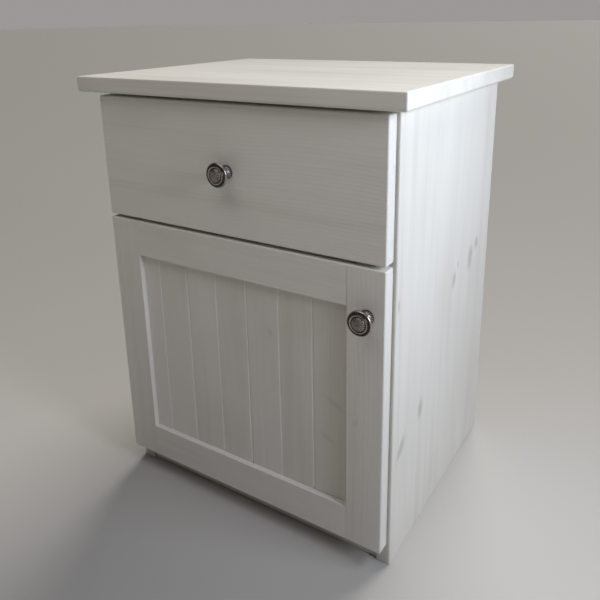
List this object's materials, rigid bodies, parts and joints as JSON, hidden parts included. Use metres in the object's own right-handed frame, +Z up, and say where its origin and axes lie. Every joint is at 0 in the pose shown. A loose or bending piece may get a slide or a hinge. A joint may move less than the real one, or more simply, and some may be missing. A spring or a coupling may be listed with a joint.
{
  "type": "bedside cabinet",
  "caption": "Small pine cabinet with a sliding drawer above a hinged, boarded door, overhanging top, round knobs and side panels that reach the floor.",
  "frame": {"origin": "on the floor, under the middle of the whole box, knobs included", "axes": "+Z up, the fronts face -Y, +X to the right of someone facing the fronts"},
  "size_m": [0.47, 0.392, 0.6],
  "materials": {
    "limed_pine": "limed, with a thin white wash over the grain, satin",
    "bare_pine": "planed and clear sealed",
    "plywood": "sanded veneer",
    "aged_bronze": "dark antique, rubbed bright on the edges",
    "plain_steel": "nickel plated",
    "coated_steel": "white powder coat",
    "nylon": "moulded",
    "black_plastic": "moulded",
    "clear_rubber": "soft, translucent"
  },
  "bodies": {
    "carcass": {"side_left": "limed_pine", "side_right": "limed_pine", "top": "limed_pine", "top_rail_front": "limed_pine", "top_rail_rear": "limed_pine", "top_screw_1": "plain_steel", "top_screw_2": "plain_steel", "top_screw_3": "plain_steel", "top_screw_4": "plain_steel", "mid_rail_front": "limed_pine", "mid_rail_rear": "limed_pine", "bottom_panel": "limed_pine", "kick_board": "limed_pine", "back_panel": "plywood", "runner_channel_left": "coated_steel", "runner_channel_right": "coated_steel", "hinge_arm_lower": "plain_steel", "hinge_arm_upper": "plain_steel", "hinge_plate_lower": "plain_steel", "hinge_plate_upper": "plain_steel", "catch_housing": "black_plastic", "catch_magnet": "plain_steel"},
    "drawer": {"drawer_front": "limed_pine", "drawer_side_left": "bare_pine", "drawer_side_right": "bare_pine", "drawer_box_front": "bare_pine", "drawer_box_back": "bare_pine", "drawer_bottom": "plywood", "drawer_front_screw_left": "plain_steel", "drawer_front_screw_right": "plain_steel", "drawer_knob": "aged_bronze", "drawer_knob_screw": "plain_steel", "runner_angle_left": "coated_steel", "runner_angle_right": "coated_steel", "drawer_buffer_left": "clear_rubber", "drawer_buffer_right": "clear_rubber"},
    "door": {"door_stile_left": "limed_pine", "door_stile_right": "limed_pine", "door_rail_top": "limed_pine", "door_rail_bottom": "limed_pine", "door_lining_1": "limed_pine", "door_lining_2": "limed_pine", "door_lining_3": "limed_pine", "door_lining_4": "limed_pine", "door_knob": "aged_bronze", "door_knob_screw": "plain_steel", "hinge_cup_lower": "plain_steel", "hinge_cup_upper": "plain_steel", "hinge_pin_lower": "plain_steel", "hinge_pin_upper": "plain_steel", "catch_strike": "plain_steel", "door_buffer_lower": "clear_rubber", "door_buffer_upper": "clear_rubber"},
    "front_roller_left": {"roller_front_left": "nylon"},
    "front_roller_right": {"roller_front_right": "nylon"},
    "rear_roller_left": {"roller_rear_left": "nylon"},
    "rear_roller_right": {"roller_rear_right": "nylon"}
  },
  "joints": [
    {"name": "drawer_slide", "type": "slide", "parent": "carcass", "child": "drawer", "axis": [0, -1, 0], "range_m": [0, 0.22]},
    {"name": "door_swing", "type": "hinge", "parent": "carcass", "child": "door", "pos_m": [-0.2038, -0.1595, 0.2195], "axis": [0, 0, -1], "range_deg": [0, 100]},
    {"name": "front_roller_left_spin", "type": "hinge", "parent": "carcass", "child": "front_roller_left", "pos_m": [-0.1897, -0.135, 0.4395], "axis": [1, 0, 0], "range_deg": [0, 1330]},
    {"name": "front_roller_right_spin", "type": "hinge", "parent": "carcass", "child": "front_roller_right", "pos_m": [0.1897, -0.135, 0.4395], "axis": [1, 0, 0], "range_deg": [0, 1330]},
    {"name": "rear_roller_left_spin", "type": "hinge", "parent": "drawer", "child": "rear_roller_left", "pos_m": [-0.1881, 0.139, 0.4395], "axis": [1, 0, 0], "range_deg": [0, 1330]},
    {"name": "rear_roller_right_spin", "type": "hinge", "parent": "drawer", "child": "rear_roller_right", "pos_m": [0.1881, 0.139, 0.4395], "axis": [1, 0, 0], "range_deg": [0, 1330]}
  ],
  "couplings": [
    {"joint": "front_roller_left_spin", "follows": "drawer_slide", "rad_per_m": 105.26},
    {"joint": "front_roller_right_spin", "follows": "drawer_slide", "rad_per_m": 105.26},
    {"joint": "rear_roller_left_spin", "follows": "drawer_slide", "rad_per_m": 105.26},
    {"joint": "rear_roller_right_spin", "follows": "drawer_slide", "rad_per_m": 105.26}
  ]
}
